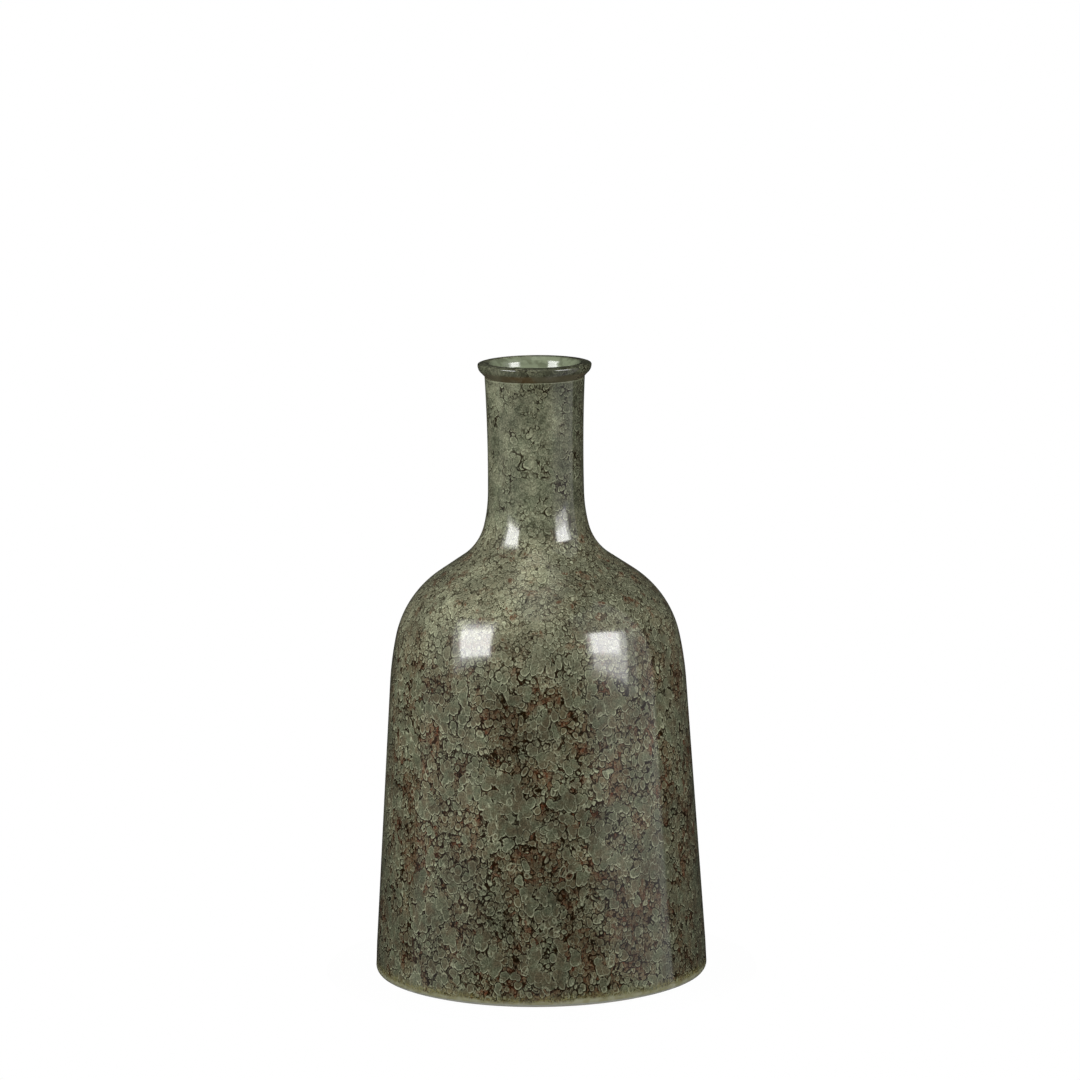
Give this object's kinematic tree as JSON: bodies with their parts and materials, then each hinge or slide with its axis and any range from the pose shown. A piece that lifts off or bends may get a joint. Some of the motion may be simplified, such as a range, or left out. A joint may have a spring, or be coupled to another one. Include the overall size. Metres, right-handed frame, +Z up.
{
  "type": "bottle vase",
  "caption": "Glazed stoneware bottle vase with a wide, slightly leaning body, round shoulder, narrow waisted neck and small rolled lip, in mottled grey-green glaze.",
  "frame": {"origin": "centre of the foot, on the surface that the vase stands on", "axes": "+Z up the axis of the neck, out of the mouth; the vase is round, so +X is to the picture's right and +Y away from its camera"},
  "size_m": [0.1997, 0.1998, 0.3686],
  "materials": {
    "clay": "matt bisque",
    "reactive_glaze": "gloss, mottled",
    "liner_glaze": "gloss",
    "foot_glaze": "gloss, thin"
  },
  "bodies": {
    "root": {"base": "clay", "wall": "clay", "shoulder": "clay", "neck": "clay", "lip": "clay", "outer_glaze": "reactive_glaze", "lip_glaze": "reactive_glaze", "liner_glaze": "liner_glaze", "foot_glaze": "foot_glaze"}
  },
  "joints": []
}
